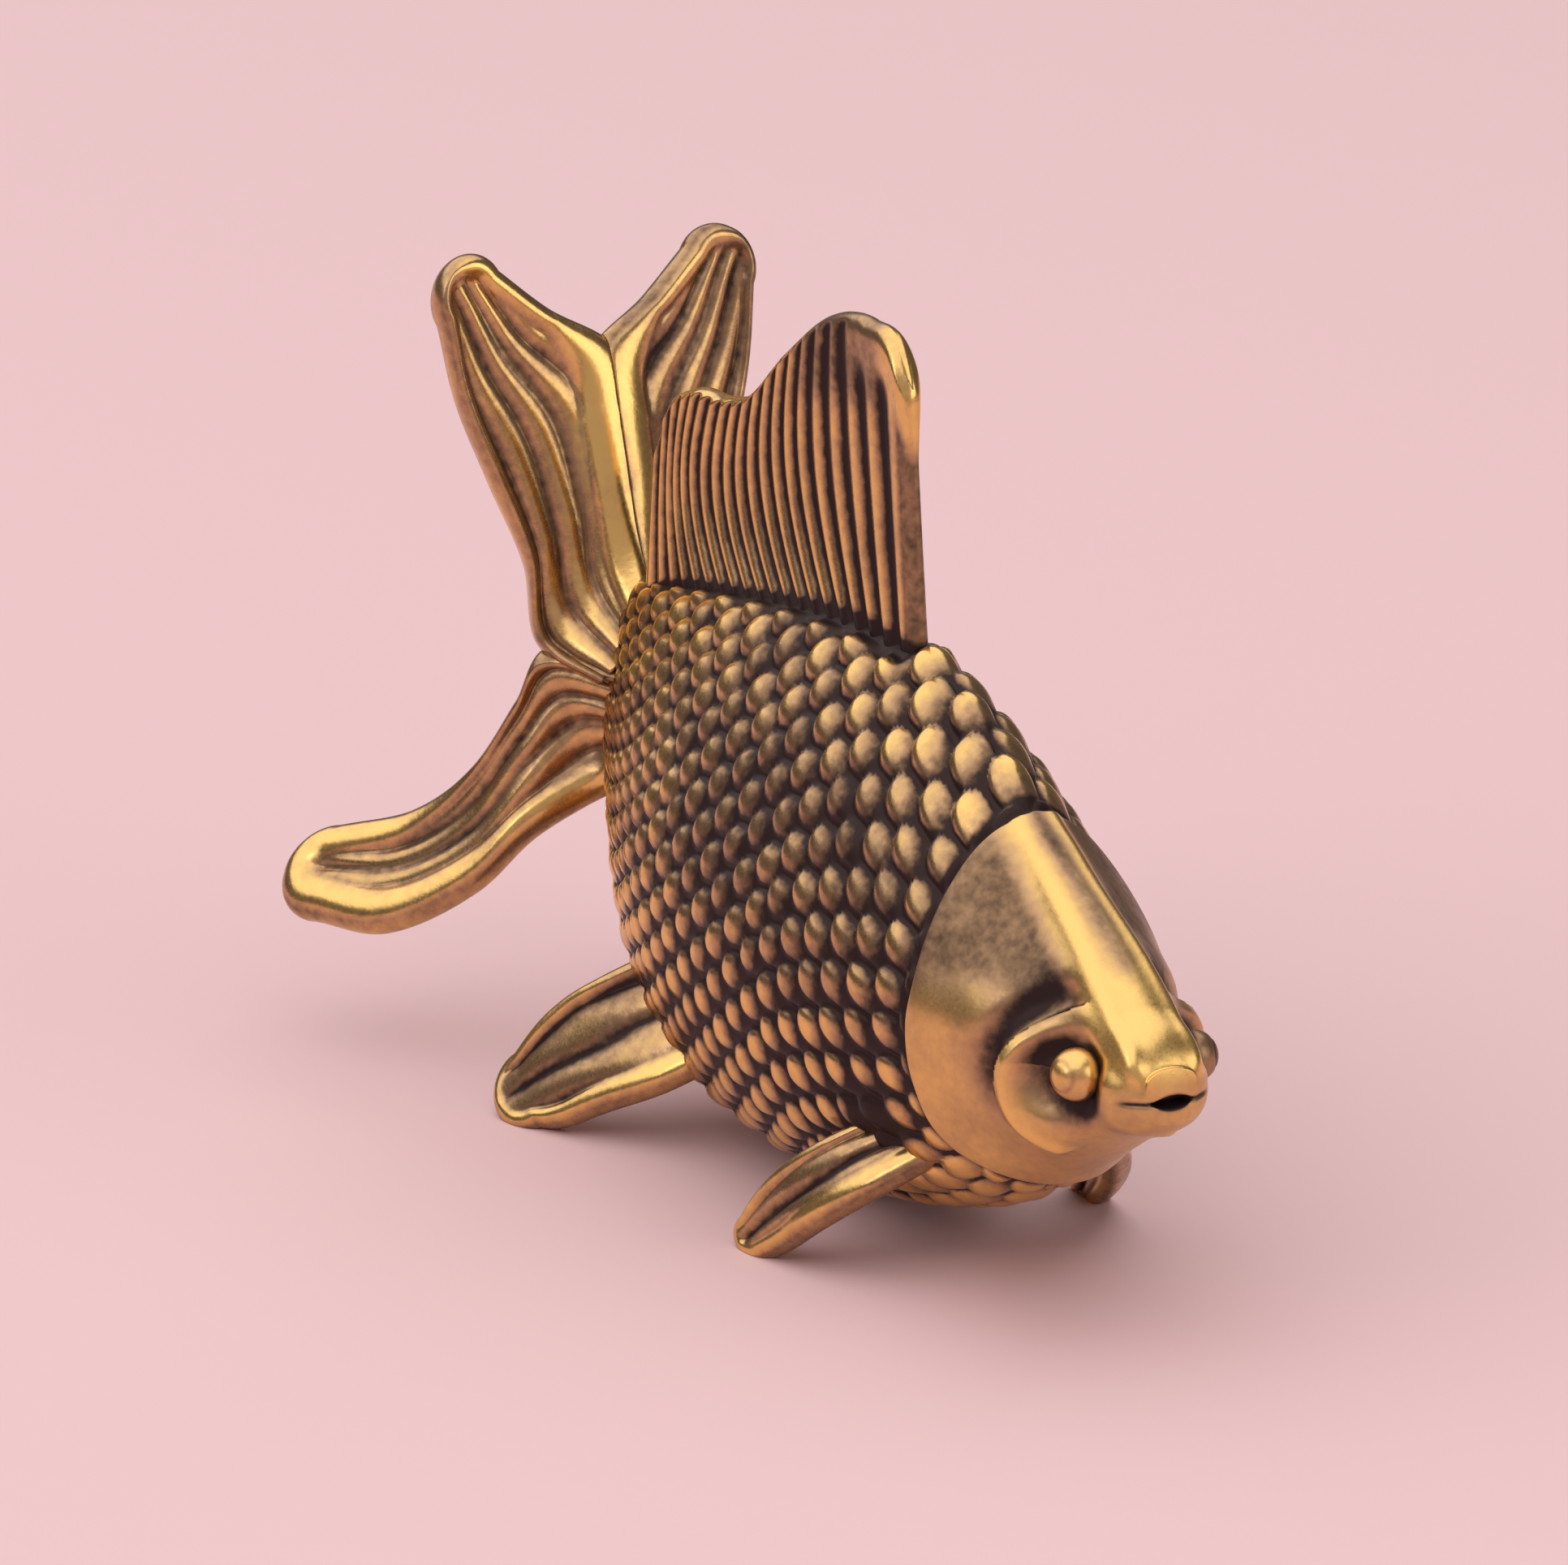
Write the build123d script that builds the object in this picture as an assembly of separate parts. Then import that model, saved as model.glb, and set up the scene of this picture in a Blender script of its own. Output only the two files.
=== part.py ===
"""Cast brass goldfish that stands on its four lower fins, in thirteen soldered pieces.

Millimetres. +X runs towards the mouth, +Y to the fish's left, +Z up; the ground is z = 0
and the origin lies under the middle of the overall box.
"""
import os

from build123d import *

# Trunk and head
fish_length = 44.0
back_height = 18.4
trunk_half_width = 5.2
head_proud = 0.15
head_tenon_radius = 2.4
head_tenon_length = 4.0

# Eyes and mouth
eye_radius = 0.78
eye_ring_gap = 0.1
eye_ring_thickness = 0.2
mouth_width = 1.5
mouth_height = 0.45
mouth_depth = 0.7

# Dorsal fin
dorsal_rise = 9.2
dorsal_thickness = 1.1
dorsal_groove_depth = 0.16
dorsal_ray_count = 20
dorsal_tongue_depth = 1.0

# Paddles, which are the pectoral and pelvic fins
paddle_reach = 4.4
paddle_thickness = 1.1
paddle_peg_radius = 0.42
paddle_peg_length = 3.4

# Tail
tail_upper_rise = 12.5
tail_lower_drop = 9.6
tail_half_spread = 9.0
lobe_thickness = 1.5
upper_lobe_peg_radius = 0.35
lower_lobe_peg_radius = 0.4
lobe_peg_length = 1.6
lobe_peg_hold = 0.45

# Fits and working allowances
solder_gap = 0.04
tail_seam = 0.08
cut_overrun = 10.0

# Fullness of a trunk section between its widest point and its top and bottom, and of an oval
flank_above_share = 0.4
flank_below_share = 0.55
belly_share = 0.55
round_share = 0.5523

# Trunk sections from the mouth to the tail root. Back from the mouth as a share of the
# length; top, bottom and widest point as shares of the back height; half width and half
# width of the back ridge as shares of the trunk half width.
trunk_shares = [
    (0.000, 0.480, 0.410, 0.445, 0.180, 0.120),
    (0.006, 0.505, 0.390, 0.445, 0.270, 0.190),
    (0.040, 0.575, 0.350, 0.460, 0.410, 0.190),
    (0.080, 0.645, 0.285, 0.470, 0.540, 0.180),
    (0.150, 0.745, 0.195, 0.480, 0.700, 0.165),
    (0.220, 0.850, 0.125, 0.480, 0.835, 0.175),
    (0.290, 0.945, 0.075, 0.465, 0.935, 0.210),
    (0.370, 1.000, 0.045, 0.455, 1.000, 0.230),
    (0.490, 0.995, 0.030, 0.445, 0.980, 0.230),
    (0.600, 0.960, 0.055, 0.445, 0.845, 0.210),
    (0.690, 0.920, 0.145, 0.465, 0.585, 0.170),
    (0.740, 0.890, 0.265, 0.530, 0.405, 0.155),
    (0.775, 0.860, 0.410, 0.620, 0.290, 0.125),
    (0.805, 0.795, 0.520, 0.660, 0.210, 0.100),
]

# Rear edge of the gill covers, seen from the side, as shares of length and back height
gill_shares = [
    (0.140, 0.960),
    (0.184, 0.797),
    (0.209, 0.685),
    (0.218, 0.515),
    (0.216, 0.380),
    (0.198, 0.250),
    (0.165, 0.188),
    (0.100, 0.110),
]

# Outline of the dorsal fin, seen from the side, as shares of the length and of the rise
# above the back; its two ends lie inside the trunk at a share of the back height
dorsal_end_shares = (0.352, 0.758)
dorsal_root_share = 0.78
dorsal_shares = [
    (0.355, -0.020),
    (0.359, 0.400),
    (0.365, 0.760),
    (0.386, 0.946),
    (0.427, 1.000),
    (0.482, 0.955),
    (0.543, 0.772),
    (0.605, 0.544),
    (0.641, 0.499),
    (0.689, 0.472),
    (0.727, 0.379),
    (0.750, 0.130),
]

# Ribs of the paddles and tail lobes of the right side, root first. A rib runs between two
# edge points (back, out, up) and has a half thickness as a share of the sheet's thickness.
# Paddles: out is a share of the reach beyond the root, up of the back height.
paddle_root_share = 0.5
pectoral_shares = [
    ((0.280, 0.068, 0.261), (0.219, -0.023, 0.217), 0.50),
    ((0.305, 0.386, 0.207), (0.243, 0.348, 0.152), 0.49),
    ((0.334, 0.591, 0.142), (0.280, 0.591, 0.079), 0.46),
    ((0.356, 0.682, 0.079), (0.312, 0.682, 0.023), 0.42),
    ((0.366, 0.739, 0.036), (0.335, 0.739, -0.001), 0.36),
    ((0.371, 0.784, 0.008), (0.357, 0.784, -0.007), 0.24),
]
pelvic_shares = [
    ((0.632, 0.000, 0.304), (0.545, -0.045, 0.163), 0.50),
    ((0.659, 0.295, 0.250), (0.573, 0.295, 0.103), 0.50),
    ((0.684, 0.500, 0.196), (0.609, 0.568, 0.054), 0.47),
    ((0.702, 0.727, 0.122), (0.648, 0.841, 0.005), 0.44),
    ((0.702, 0.886, 0.054), (0.673, 0.955, -0.004), 0.40),
    ((0.702, 0.989, 0.010), (0.686, 1.000, -0.010), 0.26),
]

# Lobes: out is a share of the tail's half spread, up of the rise or drop from the notch.
tail_face_share = 0.784
tail_notch_share = 0.712
upper_lobe_shares = [
    ((0.759, -0.017, 0.119), (0.761, 0.156, -0.057), 0.50),
    ((0.791, -0.017, 0.312), (0.800, 0.233, 0.039), 0.50),
    ((0.814, -0.017, 0.535), (0.816, 0.356, 0.232), 0.47),
    ((0.836, -0.017, 0.760), (0.830, 0.478, 0.455), 0.44),
    ((0.850, 0.222, 0.865), (0.843, 0.589, 0.680), 0.40),
    ((0.861, 0.478, 0.967), (0.852, 0.656, 0.856), 0.36),
    ((0.862, 0.580, 0.990), (0.857, 0.650, 0.942), 0.22),
]
lower_lobe_shares = [
    ((0.752, 0.035, -0.018), (0.740, 0.055, -0.392), 0.47),
    ((0.795, 0.070, -0.007), (0.778, 0.105, -0.445), 0.45),
    ((0.818, 0.285, -0.119), (0.792, 0.360, -0.573), 0.41),
    ((0.850, 0.460, -0.410), (0.812, 0.585, -0.773), 0.38),
    ((0.895, 0.589, -0.594), (0.862, 0.825, -0.938), 0.40),
    ((0.945, 0.756, -0.698), (0.918, 0.956, -0.980), 0.40),
    ((0.999, 0.910, -0.799), (0.988, 0.985, -0.879), 0.26),
]
upper_peg_shares = (0.061, 0.064)
lower_peg_shares = (0.067, -0.229)

# Places on the head: back from the mouth, out from the middle and up, as shares of the
# length, the trunk half width and the back height
eye_place_shares = (0.043, 0.375, 0.489)
eye_aim_shares = (0.3, -1.0, 0.1)
mouth_place_share = 0.448
tenon_place_shares = (0.190, 0.500)


def back_from_mouth(share):
    """Return x for a share of the length measured back from the mouth."""
    return fish_length / 2 - share * fish_length


def trunk_section(row, proud):
    """Return one closed section of the trunk, swollen by proud all round."""
    back, top, bottom, widest, half, ridge = row
    x = back_from_mouth(back)
    z_top = top * back_height + proud
    z_bottom = bottom * back_height - proud
    z_wide = widest * back_height
    y_wide = half * trunk_half_width + proud
    y_ridge = ridge * trunk_half_width
    z_above = z_wide + flank_above_share * (z_top - z_wide)
    z_below = z_wide - flank_below_share * (z_wide - z_bottom)
    y_belly = belly_share * y_wide
    edges = []
    for side in (-1, 1):
        upper = [(x, side * y_wide, z_wide), (x, side * y_wide, z_above),
                 (x, side * y_ridge, z_top), (x, 0, z_top)]
        lower = [(x, 0, z_bottom), (x, side * y_belly, z_bottom),
                 (x, side * y_wide, z_below), (x, side * y_wide, z_wide)]
        if side < 0:
            edges += [Bezier(*lower), Bezier(*upper)]
        else:
            edges += [Bezier(*reversed(upper)), Bezier(*reversed(lower))]
    return Face(Wire(edges))


def trunk(proud):
    """Return the whole trunk and head as one smooth solid."""
    return loft([trunk_section(row, proud) for row in trunk_shares])


def side_plate(edge, half_thickness):
    """Return a plate of an outline drawn in the XZ plane, centred on the middle plane."""
    return extrude(Face(edge), amount=half_thickness, dir=(0, 1, 0), both=True)


def head_region(shift):
    """Return the space in front of the gill edge, moved by shift along x."""
    points = [(back_from_mouth(b) + shift, 0, u * back_height) for b, u in gill_shares]
    front = fish_length / 2 + cut_overrun
    top = (front, 0, points[0][2])
    low = (front, 0, points[-1][2])
    outline = Wire([Spline(*points), Line(points[-1], low), Line(low, top),
                    Line(top, points[0])])
    return side_plate(outline, trunk_half_width + cut_overrun)


def rod(start, direction, radius, length):
    """Return a round rod from start along direction."""
    plane = Plane(origin=start, z_dir=direction)
    return plane * Cylinder(radius, length, align=(Align.CENTER, Align.CENTER, Align.MIN))


def paddle_point(shares):
    """Return a point of a paddle from its three shares."""
    back, out, up = shares
    root = paddle_root_share * trunk_half_width
    return Vector(back_from_mouth(back), -root - out * paddle_reach, up * back_height)


def tail_point(shares):
    """Return a point of a tail lobe from its three shares."""
    back, out, up = shares
    z = tail_notch_share * back_height + up * (tail_upper_rise if up > 0 else tail_lower_drop)
    return Vector(back_from_mouth(back), -out * tail_half_spread, z)


def sheet(ribs, place, thickness):
    """Return a fin or lobe lofted through flat ovals along its ribs."""
    centres = [(place(first) + place(second)) / 2 for first, second, _ in ribs]
    halves = [(place(second) - place(first)) / 2 for first, second, _ in ribs]
    root_to_tip = centres[-1] - centres[0]
    faces = []
    for i, rib in enumerate(ribs):
        across = halves[i].normalized()
        along = root_to_tip - across * root_to_tip.dot(across)
        thick = across.cross(along.normalized()) * (rib[2] * thickness)
        corners = [thick, halves[i], -thick, -halves[i]]
        edges = []
        for j, near in enumerate(corners):
            far = corners[(j + 1) % len(corners)]
            edges.append(Bezier(centres[i] + near, centres[i] + near + far * round_share,
                                centres[i] + far + near * round_share, centres[i] + far))
        faces.append(Face(Wire(edges)))
    return loft(faces)


def left_of(piece):
    """Return the left-hand twin of a right-hand piece."""
    return mirror(piece, about=Plane.XZ)


skin = trunk(0)
clear_skin = trunk(solder_gap)

# Head with its tenon, eye rings, eye cups and mouth
tenon_start = (back_from_mouth(tenon_place_shares[0]), 0, tenon_place_shares[1] * back_height)
tenon = rod(tenon_start, (-1, 0, 0), head_tenon_radius, head_tenon_length)
head = (trunk(head_proud) & head_region(0)) + tenon
eye_place = Vector(back_from_mouth(eye_place_shares[0]),
                   -eye_place_shares[1] * trunk_half_width, eye_place_shares[2] * back_height)
ring_radius = eye_radius + eye_ring_gap + eye_ring_thickness
eye_plane = Plane(origin=eye_place, z_dir=eye_aim_shares)
ring = eye_plane * Pos(0, 0, eye_ring_thickness) * Torus(ring_radius, eye_ring_thickness)
cup = Pos(eye_place) * Sphere(eye_radius + solder_gap)
mouth_plane = Plane(origin=(fish_length / 2, 0, mouth_place_share * back_height),
                    x_dir=(0, 1, 0), z_dir=(-1, 0, 0))
mouth = extrude(mouth_plane * SlotOverall(mouth_width, mouth_height), amount=mouth_depth)
head = head + ring + left_of(ring) - cup - left_of(cup) - mouth

# Eyes
eye_right = Pos(eye_place) * Sphere(eye_radius)

# Dorsal fin: a rayed blade above the back and a plain tongue in a slot of the back
dorsal_points = [(back_from_mouth(b), 0, back_height + u * dorsal_rise)
                 for b, u in dorsal_shares]
dorsal_root = dorsal_root_share * back_height
dorsal_points.insert(0, (back_from_mouth(dorsal_end_shares[0]), 0, dorsal_root))
dorsal_points.append((back_from_mouth(dorsal_end_shares[1]), 0, dorsal_root))
dorsal_outline = Wire([Spline(*dorsal_points), Line(dorsal_points[-1], dorsal_points[0])])
core_half = dorsal_thickness / 2 - dorsal_groove_depth
ray_front = dorsal_points[0][0] + dorsal_thickness
ray_rear = dorsal_points[-1][0] - dorsal_thickness
ray_pitch = (ray_front - ray_rear) / dorsal_ray_count
ray_edges = [Line((ray_front, -core_half, 0), (ray_front, core_half, 0)),
             Line((ray_rear, -core_half, 0), (ray_rear, core_half, 0))]
for side in (-1, 1):
    for i in range(dorsal_ray_count):
        front_x = ray_front - i * ray_pitch
        ray_edges.append(ThreePointArc(
            (front_x, side * core_half, 0),
            (front_x - ray_pitch / 2, side * dorsal_thickness / 2, 0),
            (front_x - ray_pitch, side * core_half, 0)))
rayed_stock = extrude(Face(Wire(ray_edges)), amount=back_height + dorsal_rise + cut_overrun,
                      dir=(0, 0, 1))
blade = (side_plate(dorsal_outline, dorsal_thickness) & rayed_stock) - clear_skin
tongue = side_plate(dorsal_outline, core_half) & clear_skin
tongue = tongue - Pos(0, 0, -dorsal_tongue_depth) * skin
dorsal_fin = blade + tongue
slot_plate = side_plate(dorsal_outline, core_half + solder_gap)
slot = Pos(solder_gap, 0, 0) * slot_plate + Pos(-solder_gap, 0, 0) * slot_plate
slot = (slot & clear_skin) - Pos(0, 0, -dorsal_tongue_depth - solder_gap) * skin

# Ground below the feet, and the spaces of the tail behind its flat seat on the trunk
tail_x = back_from_mouth(tail_face_share)
notch_z = tail_notch_share * back_height
wide = 2 * (trunk_half_width + paddle_reach + tail_half_spread + cut_overrun)
tall = 2 * (back_height + tail_upper_rise + tail_lower_drop + cut_overrun)
deep = 2 * (fish_length + cut_overrun)
ground = Box(deep, wide, tall, align=(Align.CENTER, Align.CENTER, Align.MAX))
behind = Pos(tail_x, 0, notch_z) * Box(deep, wide, tall, align=(Align.MAX, Align.CENTER, Align.CENTER))
seat_corner = Pos(tail_x - solder_gap, -tail_seam / 2, notch_z)
upper_space = seat_corner * Pos(0, 0, tail_seam / 2) * Box(
    deep, wide, tall, align=(Align.MAX, Align.MAX, Align.MIN))
lower_space = seat_corner * Pos(0, 0, -tail_seam / 2) * Box(
    deep, wide, tall, align=(Align.MAX, Align.MAX, Align.MAX))


def paddle(ribs):
    """Return a paddle trimmed to the skin and the ground, with its peg, and the socket."""
    fin = sheet(ribs, paddle_point, paddle_thickness) - clear_skin - ground
    root = (paddle_point(ribs[0][0]) + paddle_point(ribs[0][1])) / 2
    start = (paddle_point(ribs[1][0]) + paddle_point(ribs[1][1])) / 2
    peg = rod(start, root - start, paddle_peg_radius, paddle_peg_length)
    socket = rod(start, root - start, paddle_peg_radius + solder_gap,
                 paddle_peg_length + solder_gap)
    return fin + peg, socket


def lobe(ribs, room, peg_radius, peg_shares):
    """Return a tail lobe trimmed to its room, with its peg, and the socket."""
    fin = sheet(ribs, tail_point, lobe_thickness) & room
    place = tail_point((tail_face_share, *peg_shares))
    start = place - Vector(lobe_peg_hold, 0, 0)
    length = lobe_peg_hold + lobe_peg_length
    peg = rod(start, (1, 0, 0), peg_radius, length)
    socket = rod(start, (1, 0, 0), peg_radius + solder_gap, length + solder_gap)
    return fin + peg, socket


pectoral_right, pectoral_socket = paddle(pectoral_shares)
pelvic_right, pelvic_socket = paddle(pelvic_shares)
upper_right, upper_socket = lobe(upper_lobe_shares, upper_space, upper_lobe_peg_radius,
                                 upper_peg_shares)
lower_right, lower_socket = lobe(lower_lobe_shares, lower_space, lower_lobe_peg_radius,
                                 lower_peg_shares)

# Body: the trunk behind the gill edge, with every slot and socket cut in it
tenon_socket = rod(tenon_start, (-1, 0, 0), head_tenon_radius + solder_gap,
                   head_tenon_length + solder_gap)
body = skin - head_region(-solder_gap) - behind - slot - tenon_socket
for socket in (pectoral_socket, pelvic_socket, upper_socket, lower_socket):
    body = body - socket - left_of(socket)

pieces = {"body": body, "head": head, "dorsal_fin": dorsal_fin}
for name, piece in (("eye", eye_right), ("pectoral_fin", pectoral_right),
                    ("pelvic_fin", pelvic_right), ("tail_upper_lobe", upper_right),
                    ("tail_lower_lobe", lower_right)):
    pieces[name + "_right"] = piece
    pieces[name + "_left"] = left_of(piece)

os.makedirs("parts", exist_ok=True)
for name, piece in pieces.items():
    export_step(piece, f"parts/{name}.step")
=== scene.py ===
"""Goldfish ornament in aged brass: scales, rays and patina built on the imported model's frame."""
import math

import bpy
import numpy as np
from bpy.props import FloatProperty, FloatVectorProperty, IntProperty, PointerProperty
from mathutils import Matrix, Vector


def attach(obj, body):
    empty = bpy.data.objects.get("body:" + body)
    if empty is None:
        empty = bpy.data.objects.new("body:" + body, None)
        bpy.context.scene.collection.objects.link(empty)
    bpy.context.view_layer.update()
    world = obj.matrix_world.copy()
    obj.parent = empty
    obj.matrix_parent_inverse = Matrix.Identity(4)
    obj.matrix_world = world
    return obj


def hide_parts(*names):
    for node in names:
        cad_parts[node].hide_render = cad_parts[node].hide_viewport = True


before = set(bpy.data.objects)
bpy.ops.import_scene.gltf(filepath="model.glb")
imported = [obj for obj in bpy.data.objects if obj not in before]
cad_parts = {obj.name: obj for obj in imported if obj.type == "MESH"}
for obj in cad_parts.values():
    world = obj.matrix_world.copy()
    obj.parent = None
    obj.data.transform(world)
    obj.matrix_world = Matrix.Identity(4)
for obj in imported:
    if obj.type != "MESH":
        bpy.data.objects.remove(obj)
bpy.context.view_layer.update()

bl_info = {
    "name": "Brass Goldfish",
    "version": (1, 0, 0),
    "blender": (4, 5, 0),
    "location": "View3D > Sidebar > Goldfish",
    "description": "Builds a cast brass goldfish ornament with scales, fin rays and patina",
    "category": "Add Mesh",
}

MM = 0.001

# Trunk sections from mouth to tail: back, top, bottom, widest, half width, half ridge
TRUNK = np.array([
    (0.000, 0.480, 0.410, 0.445, 0.180, 0.180),
    (0.006, 0.505, 0.390, 0.445, 0.270, 0.265),
    (0.040, 0.575, 0.350, 0.460, 0.410, 0.250),
    (0.080, 0.645, 0.285, 0.470, 0.540, 0.200),
    (0.150, 0.745, 0.195, 0.480, 0.700, 0.165),
    (0.220, 0.850, 0.125, 0.480, 0.835, 0.175),
    (0.290, 0.945, 0.075, 0.465, 0.935, 0.210),
    (0.370, 1.000, 0.045, 0.455, 1.000, 0.230),
    (0.490, 0.995, 0.030, 0.445, 0.980, 0.230),
    (0.600, 0.960, 0.055, 0.445, 0.845, 0.210),
    (0.690, 0.920, 0.145, 0.465, 0.585, 0.170),
    (0.740, 0.890, 0.265, 0.530, 0.405, 0.155),
    (0.775, 0.860, 0.410, 0.620, 0.290, 0.125),
    (0.805, 0.795, 0.520, 0.660, 0.210, 0.100)])

# Rear edge of the gill covers from below upwards: share of the height, share of the length
GILL = np.array([(0.110, 0.100), (0.188, 0.165), (0.250, 0.198), (0.380, 0.216),
                 (0.515, 0.218), (0.685, 0.209), (0.797, 0.184), (0.960, 0.140)])

# Top edge of the dorsal fin from the front corner to the rear: length share, rise share
DORSAL_TOP = np.array([(0.366, 0.800), (0.384, 0.940), (0.427, 1.000), (0.482, 0.955),
                       (0.543, 0.772), (0.605, 0.544), (0.641, 0.499), (0.689, 0.472),
                       (0.727, 0.345), (0.747, 0.130)])

# Ribs of the right-hand fins and lobes: two edge points (back, out, up) and a half thickness
PECTORAL = [((0.280, 0.068, 0.261), (0.219, -0.023, 0.217), 0.50),
            ((0.305, 0.386, 0.207), (0.243, 0.348, 0.152), 0.49),
            ((0.334, 0.591, 0.142), (0.280, 0.591, 0.079), 0.46),
            ((0.356, 0.682, 0.079), (0.312, 0.682, 0.023), 0.42),
            ((0.365, 0.715, 0.045), (0.328, 0.720, 0.000), 0.40)]
PELVIC = [((0.632, 0.000, 0.304), (0.545, -0.045, 0.163), 0.50),
          ((0.659, 0.295, 0.250), (0.573, 0.295, 0.103), 0.50),
          ((0.684, 0.500, 0.196), (0.609, 0.568, 0.054), 0.47),
          ((0.700, 0.680, 0.132), (0.645, 0.785, 0.008), 0.44),
          ((0.706, 0.752, 0.098), (0.656, 0.838, 0.003), 0.42)]
UPPER_LOBE = [((0.759, -0.055, 0.119), (0.764, 0.215, -0.050), 0.50),
              ((0.791, -0.055, 0.312), (0.806, 0.338, 0.035), 0.50),
              ((0.814, -0.055, 0.535), (0.817, 0.366, 0.240), 0.47),
              ((0.836, -0.045, 0.750), (0.830, 0.470, 0.455), 0.44),
              ((0.850, 0.195, 0.865), (0.843, 0.565, 0.670), 0.42),
              ((0.859, 0.362, 0.966), (0.850, 0.604, 0.850), 0.42)]
LOWER_LOBE = [((0.760, 0.110, 0.000), (0.740, 0.055, -0.392), 0.47),
              ((0.802, 0.318, 0.030), (0.778, 0.105, -0.445), 0.45),
              ((0.816, 0.380, -0.130), (0.792, 0.360, -0.573), 0.42),
              ((0.850, 0.460, -0.400), (0.812, 0.585, -0.773), 0.42),
              ((0.895, 0.589, -0.594), (0.862, 0.825, -0.938), 0.44),
              ((0.945, 0.755, -0.685), (0.922, 0.950, -0.955), 0.46)]

# Rear edge of the cheek on the side of the head, x and z in millimetres
CHEEK = np.array([(19.8, 11.0), (18.5, 10.3), (17.6, 9.1), (17.3, 7.9), (17.6, 6.6), (18.7, 5.4)])
EYE_PLACE = (0.052, 0.370, 0.474)
EYE_AIM = (0.3, -1.0, 0.1)


def length(name, about, default):
    """Return a length property in metres."""
    return FloatProperty(name=name, description=about, default=default, min=0.0, unit="LENGTH",
                         precision=5)


def colour(name, about, default):
    """Return a linear colour property."""
    return FloatVectorProperty(name=name, description=about, default=default, size=3, min=0.0,
                               max=1.0, subtype="COLOR")


class FishSizes(bpy.types.PropertyGroup):
    """Sizes of the fish and of its relief."""
    fish_length: length("Length", "From the mouth to the tail tips", 0.044)
    back_height: length("Back height", "From the ground to the top of the back", 0.0184)
    half_width: length("Half width", "Half the width of the trunk", 0.0052)
    head_proud: length("Head step", "How far the head stands above the trunk", 0.00015)
    gill_lip: length("Gill lip", "Extra height of the rim of the gill covers", 0.00016)
    eye_radius: length("Eye radius", "Radius of each eye ball", 0.00080)
    dorsal_rise: length("Dorsal rise", "Height of the dorsal fin above the back", 0.0092)
    dorsal_thickness: length("Dorsal thickness", "Thickness of the dorsal fin", 0.0011)
    paddle_reach: length("Paddle reach", "How far the lower fins reach out", 0.0044)
    paddle_thickness: length("Paddle thickness", "Thickness of the lower fins", 0.0011)
    tail_rise: length("Tail rise", "Height of the tail above its notch", 0.0125)
    tail_drop: length("Tail drop", "Depth of the tail below its notch", 0.0096)
    tail_spread: length("Tail half spread", "Half the width of the tail", 0.009)
    lobe_thickness: length("Lobe thickness", "Thickness of the tail lobes", 0.0015)
    tail_seam: length("Tail seam", "Gap between the halves of the tail", 0.00002)
    scale_rows: IntProperty(name="Scale rows", description="Rows of scales on each side",
                            default=15, min=4, max=40)
    scale_depth: FloatProperty(name="Scale depth", description="Relief as a share of a row",
                               default=0.36, min=0.0, max=1.0, subtype="FACTOR")
    dorsal_rays: IntProperty(name="Dorsal rays", description="Rays along the dorsal fin",
                             default=20, min=2, max=60)


class FishColours(bpy.types.PropertyGroup):
    """Colours of the brass, its patina and the floor."""
    gold: colour("Gold", "Brass where it is rubbed bright", (0.85, 0.54, 0.18))
    bronze: colour("Bronze", "Brass that has dulled", (0.44, 0.265, 0.140))
    patina: colour("Patina", "Dark film in the hollows", (0.032, 0.017, 0.016))
    floor: colour("Floor", "Plain floor", (0.83, 0.573, 0.588))


def sizes():
    """Return the scene's size settings."""
    return bpy.context.scene.fish_sizes


def colours():
    """Return the scene's colour settings."""
    return bpy.context.scene.fish_colours


def follow(knots, values, x):
    """Return values at x: cubic pieces through the knots with slopes taken from neighbours."""
    knots = np.asarray(knots, float)
    values = np.asarray(values, float)
    slopes = np.gradient(values, knots, axis=0)
    i = np.clip(np.searchsorted(knots, x) - 1, 0, len(knots) - 2)
    step = knots[i + 1] - knots[i]
    t = (x - knots[i]) / step
    if values.ndim > 1:
        t = t[..., None]
        step = step[..., None]
    first = values[i] * (1 + 2 * t) * (1 - t) ** 2 + slopes[i] * step * t * (1 - t) ** 2
    return first + values[i + 1] * t ** 2 * (3 - 2 * t) + slopes[i + 1] * step * t ** 2 * (t - 1)


def ramp(low, high, x):
    """Return a smooth rise from 0 at low to 1 at high."""
    t = np.clip((x - low) / (high - low), 0, 1)
    return t * t * (3 - 2 * t)


def noise(*angles):
    """Return a repeatable unevenness between -1 and 1 from whole numbers."""
    value = np.sin(sum(a * w for a, w in zip(angles, (12.9898, 78.233, 37.719)))) * 43758.5453
    return 2 * (value - np.floor(value)) - 1


def back_from_mouth(share):
    """Return x for a share of the length measured back from the mouth."""
    return sizes().fish_length * (0.5 - share)


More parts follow.
